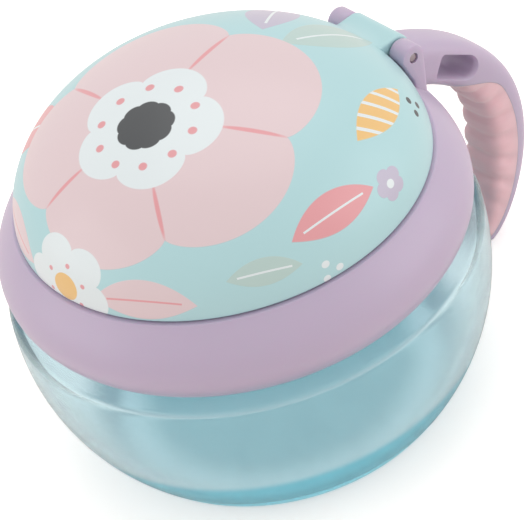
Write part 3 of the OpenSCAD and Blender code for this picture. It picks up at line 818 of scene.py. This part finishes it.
# The print is pad-printed inks on the dome, laid out flat from its top: across
# and up are as the photograph looks at it, both in millimetres.
photo_across, photo_up, skin_from, petal_power = (0.659, 0.752), (-0.752, 0.659), 0.975, 0.7
lid_flat, given, put = new_group("lid_flat", [("Flat", "OUTPUT", "Vector", None), ("Outside", "OUTPUT", "Float", None)])
tree = lid_flat
spot = tree.nodes.new("ShaderNodeSeparateXYZ")
link(tree, tree.nodes.new("ShaderNodeTexCoord").outputs["Object"], spot.inputs[0])
x, y = spot.outputs["X"], spot.outputs["Y"]
out_from_axis = maths(tree, "MAXIMUM", distance(tree, x, y), 0.00001)
stretched = maths(tree, "MULTIPLY", maths(tree, "SUBTRACT", spot.outputs["Z"], edge_z), lid_r / dome_h)
along_dome = maths(tree, "MULTIPLY", maths(tree, "ARCTAN2", out_from_axis, stretched), dome_arc / (math.pi / 2))
parts = [maths(tree, "MULTIPLY", along_dome, maths(tree, "DIVIDE", maths(
    tree, "ADD", maths(tree, "MULTIPLY", x, ex), maths(tree, "MULTIPLY", y, ey)), out_from_axis))
    for ex, ey in (photo_across, photo_up)]
flat = tree.nodes.new("ShaderNodeCombineXYZ")
link(tree, parts[0], flat.inputs["X"])
link(tree, parts[1], flat.inputs["Y"])
link(tree, flat.outputs[0], put["Flat"])
on_skin = maths(tree, "ADD", maths(tree, "POWER", maths(tree, "DIVIDE", out_from_axis, lid_r), 2.0),
                maths(tree, "POWER", maths(tree, "DIVIDE", maths(tree, "MAXIMUM", stretched, 0.0), lid_r), 2.0))
link(tree, maths(tree, "GREATER_THAN", on_skin, skin_from), put["Outside"])


def local_place(tree, given):
    """Where a point lies from a motif's own centre, turned with the motif."""
    angle = maths(tree, "MULTIPLY", given["Turn"], -math.pi / 180)
    moved = tree.nodes.new("ShaderNodeVectorMath")
    moved.operation = "SUBTRACT"
    link(tree, given["Flat"], moved.inputs[0])
    link(tree, given["Place"], moved.inputs[1])
    turned_back = tree.nodes.new("ShaderNodeVectorRotate")
    turned_back.rotation_type = "Z_AXIS"
    link(tree, moved.outputs[0], turned_back.inputs["Vector"])
    link(tree, angle, turned_back.inputs["Angle"])
    parts = tree.nodes.new("ShaderNodeSeparateXYZ")
    link(tree, turned_back.outputs[0], parts.inputs[0])
    return parts.outputs["X"], parts.outputs["Y"]


def inked(tree, inside):
    """1 where a distance inside the motif's edge is above 0, with a soft step."""
    softness = 0.1
    return stepped(tree, inside, -softness, softness, "LINEAR")


placed = [("Flat", "INPUT", "Vector", None), ("Place", "INPUT", "Vector", None), ("Turn", "INPUT", "Float", 0.0)]
printed_blossom, given, put = new_group("printed_blossom", placed + [
    ("Radius", "INPUT", "Float", 10.0), ("Petals", "INPUT", "Float", 5.0), ("Notch", "INPUT", "Float", 0.25),
    ("Ink", "OUTPUT", "Float", None)])
tree = printed_blossom
u, v = local_place(tree, given)
far = distance(tree, u, v)
turns = maths(tree, "MULTIPLY", maths(tree, "ARCTAN2", v, u), maths(tree, "MULTIPLY", given["Petals"], 0.5))
lobe = maths(tree, "POWER", maths(tree, "ABSOLUTE", maths(tree, "COSINE", turns)), petal_power)
cut_in = maths(tree, "MULTIPLY", given["Notch"], maths(tree, "SUBTRACT", 1.0, lobe))
reach = maths(tree, "MULTIPLY", given["Radius"], maths(tree, "SUBTRACT", 1.0, cut_in))
link(tree, inked(tree, maths(tree, "SUBTRACT", reach, far)), put["Ink"])

printed_seeds, given, put = new_group("printed_seeds", placed + [
    ("Count", "INPUT", "Float", 1.0), ("Ring Radius", "INPUT", "Float", 0.0), ("Length", "INPUT", "Float", 1.0),
    ("Width", "INPUT", "Float", 1.0), ("Ink", "OUTPUT", "Float", None)])
tree = printed_seeds
u, v = local_place(tree, given)
far = distance(tree, u, v)
turns = maths(tree, "MULTIPLY", maths(tree, "ARCTAN2", v, u), maths(tree, "DIVIDE", given["Count"], math.tau))
past_seed = maths(tree, "SUBTRACT", turns, maths(tree, "ROUND", turns))
off = maths(tree, "DIVIDE", maths(tree, "MULTIPLY", past_seed, math.tau), given["Count"])
outwards = maths(tree, "MULTIPLY", far, maths(tree, "COSINE", off))
du = maths(tree, "DIVIDE", maths(tree, "SUBTRACT", outwards, given["Ring Radius"]), given["Length"])
dv = maths(tree, "DIVIDE", maths(tree, "MULTIPLY", far, maths(tree, "SINE", off)), given["Width"])
inside = maths(tree, "MULTIPLY", given["Width"], maths(tree, "SUBTRACT", 1.0, distance(tree, du, dv)))
link(tree, inked(tree, inside), put["Ink"])

printed_leaf, given, put = new_group("printed_leaf", placed + [
    ("Length", "INPUT", "Float", 10.0), ("Width", "INPUT", "Float", 4.0), ("Ink", "OUTPUT", "Float", None),
    ("Along", "OUTPUT", "Float", None), ("Across", "OUTPUT", "Float", None)])
tree = printed_leaf
u, v = local_place(tree, given)
share = maths(tree, "DIVIDE", u, given["Length"])
narrowed = maths(tree, "SUBTRACT", 1.0, maths(tree, "MULTIPLY", share, share))
edge_here = maths(tree, "MULTIPLY", given["Width"], narrowed)
link(tree, inked(tree, maths(tree, "SUBTRACT", edge_here, maths(tree, "ABSOLUTE", v))), put["Ink"])
link(tree, u, put["Along"])
link(tree, v, put["Across"])

lid_plastic, tree, shader = shader_for("lid_printed_plastic")
lid_aqua, petal_pink = screen_colour(180, 216, 219), screen_colour(226, 203, 205)
ink_white, ink_coral = screen_colour(228, 235, 236), screen_colour(228, 158, 162)
ink_charcoal = screen_colour(68, 70, 72)
ink_lilac, ink_mint, ink_gold = screen_colour(194, 186, 204), screen_colour(186, 208, 202), screen_colour(238, 194, 126)
layout = tree.nodes.new("ShaderNodeGroup")
layout.node_tree = lid_flat
colour, all_ink = lid_aqua, None


def motif(kind, place, turn, **sizes):
    """One printed motif, and its group's node."""
    node = tree.nodes.new("ShaderNodeGroup")
    node.node_tree = kind
    link(tree, layout.outputs["Flat"], node.inputs["Flat"])
    set_inputs(node, {"Place": (*place, 0), "Turn": turn, **sizes})
    return node


def printed(ink, ink_colour):
    """Lay one ink over the colours so far."""
    global colour, all_ink
    shown = maths(tree, "MULTIPLY", ink, layout.outputs["Outside"])
    colour = blended(tree, shown, colour, ink_colour)
    all_ink = shown if all_ink is None else maths(tree, "MAXIMUM", all_ink, shown)


def blossom(place, turn, radius, ink_colour, petals=5.0, notch=0.25):
    """A flower, or its middle, with round petals."""
    printed(motif(printed_blossom, place, turn, Radius=radius, Petals=petals, Notch=notch).outputs["Ink"], ink_colour)


def seeds(place, turn, count, ring_radius, length, width, ink_colour):
    """A ring of small ovals, or one alone when its ring has no radius."""
    node = motif(printed_seeds, place, turn, Count=count, Length=length, Width=width, **{"Ring Radius": ring_radius})
    printed(node.outputs["Ink"], ink_colour)


def leaf(place, turn, length, width, ink_colour, vein=None):
    """A pointed leaf, with a vein in a second ink if that is given."""
    vein_half, vein_share = 0.28, 0.72
    node = motif(printed_leaf, place, turn, Length=length, Width=width)
    printed(node.outputs["Ink"], ink_colour)
    if vein:
        inside = maths(tree, "LESS_THAN", maths(tree, "ABSOLUTE", node.outputs["Across"]), vein_half)
        short = maths(tree, "LESS_THAN", maths(tree, "ABSOLUTE", node.outputs["Along"]), length * vein_share)
        printed(maths(tree, "MULTIPLY", inside, short), vein)
    return node


# Leaves and blossoms, from the lowest ink to the topmost.
leaf((26, 17), 35, 13, 5.5, ink_mint, ink_white)
leaf((14, 27), 80, 12, 5.5, ink_lilac, ink_white)
leaf((-40, 12), 140, 15, 6.5, ink_coral, ink_white)
leaf((-50, -14), 100, 13, 5.5, petal_pink, ink_coral)
leaf((-18, -49), 160, 14, 6, petal_pink, ink_coral)
blossom((-9, -9), 20, 33, petal_pink, 5.0, 0.2)
seeds((-9, -9), 56, 5.0, 20.0, 6.0, 0.45, ink_coral)
blossom((-9, -9), 56, 14.5, ink_white, 5.0, 0.22)
seeds((-9, -9), 12, 10.0, 9.4, 0.85, 0.85, ink_coral)
blossom((-9, -9), 0, 5.6, ink_charcoal, 9.0, 0.08)
blossom((-39, -38), 10, 14.5, ink_white, 6.0, 0.24)
seeds((-39, -38), 40, 6.0, 6.6, 0.7, 0.7, ink_coral)
seeds((-39, -38), 0, 1.0, 0.0, 4.2, 4.2, ink_gold)
striped = leaf((36, -6), 62, 11, 4.4, ink_gold)
stripe_lean, stripe_step, stripe_from = 0.9, 1.5, 0.72
stripe = maths(tree, "SINE", maths(tree, "MULTIPLY_ADD", striped.outputs["Across"], stripe_lean, maths(
    tree, "MULTIPLY", striped.outputs["Along"], stripe_step)))
printed(maths(tree, "MULTIPLY", maths(tree, "GREATER_THAN", stripe, stripe_from), striped.outputs["Ink"]), ink_white)
leaf((27, -33), 38, 11.5, 5, ink_coral, ink_white)
leaf((12, -47), 8, 9, 3.8, ink_mint, ink_white)
blossom((41, -24), 15, 4.6, ink_lilac)
seeds((41, -24), 0, 1.0, 0.0, 1.2, 1.2, ink_white)
blossom((1, 43), 30, 4.2, ink_coral)
for place, turn, count, ring_radius, size in (((29, -48), 20, 3.0, 2.6, 1.1), ((-27, 34), 70, 3.0, 2.4, 1.0)):
    seeds(place, turn, count, ring_radius, size, size, ink_white)
seeds((47, 2), 50, 3.0, 2.2, 1.0, 1.0, ink_charcoal)

skin, raised = with_skin(tree, shader, colour, tone_drift=0.04, grain_scale=2600.0, roughness=0.36,
                         roughness_drift=0.06, grain_height=0.000006)
ink_gloss, ink_height = 0.05, 0.00003
link(tree, maths(tree, "SUBTRACT", skin.outputs["Roughness"], maths(tree, "MULTIPLY", all_ink, ink_gloss)),
     shader.inputs["Roughness"])
link(tree, bump(tree, all_ink, ink_height).outputs["Normal"], raised.inputs["Normal"])
set_inputs(shader, {"Coat Weight": 0.15, "Coat Roughness": 0.25})
finished(lid_shell, lid_plastic, "lid", "lid_plastic", "lid_shell")


# Lid liner: a flat aqua plate snapped in under the dome, whose round plug
# fills the hand opening. Its underside has shallow rings from the mould.
plate_r, plate_z, plate_t = 44.2 * MM, 62.9 * MM, 1.6 * MM
plug_r, plug_wall, plug_foot = 37.2 * MM, 1.6 * MM, 59.2 * MM
liner_plastic, tree, shader = shader_for("liner_plain_plastic")
with_skin(tree, shader, screen_colour(182, 216, 219), tone_drift=0.05, grain_scale=2600.0, roughness=0.42,
          roughness_drift=0.08, grain_height=0.000008)
grooves = []
for r in (30, 22, 14, 6):
    grooves += [((r + 0.5) * MM, plate_z, 0.2 * MM), (r * MM, plate_z + 0.3 * MM, 0.3 * MM),
                ((r - 0.5) * MM, plate_z, 0.2 * MM)]
liner_outline = eased(
    [(0, plate_z + plate_t, 0), (0, plate_z, 0)] + grooves[::-1]
    + [(plug_r - plug_wall, plate_z, 0.8 * MM), (plug_r - plug_wall, plug_foot, 0.6 * MM),
       (plug_r, plug_foot, 0.6 * MM), (plug_r, plate_z, 0.4 * MM), (plate_r, plate_z, 0.4 * MM),
       (plate_r, plate_z + plate_t, 0.4 * MM)], 4)
finished(turned("lid_liner", liner_outline), liner_plastic, "lid", "lid_plastic", "lid_liner")
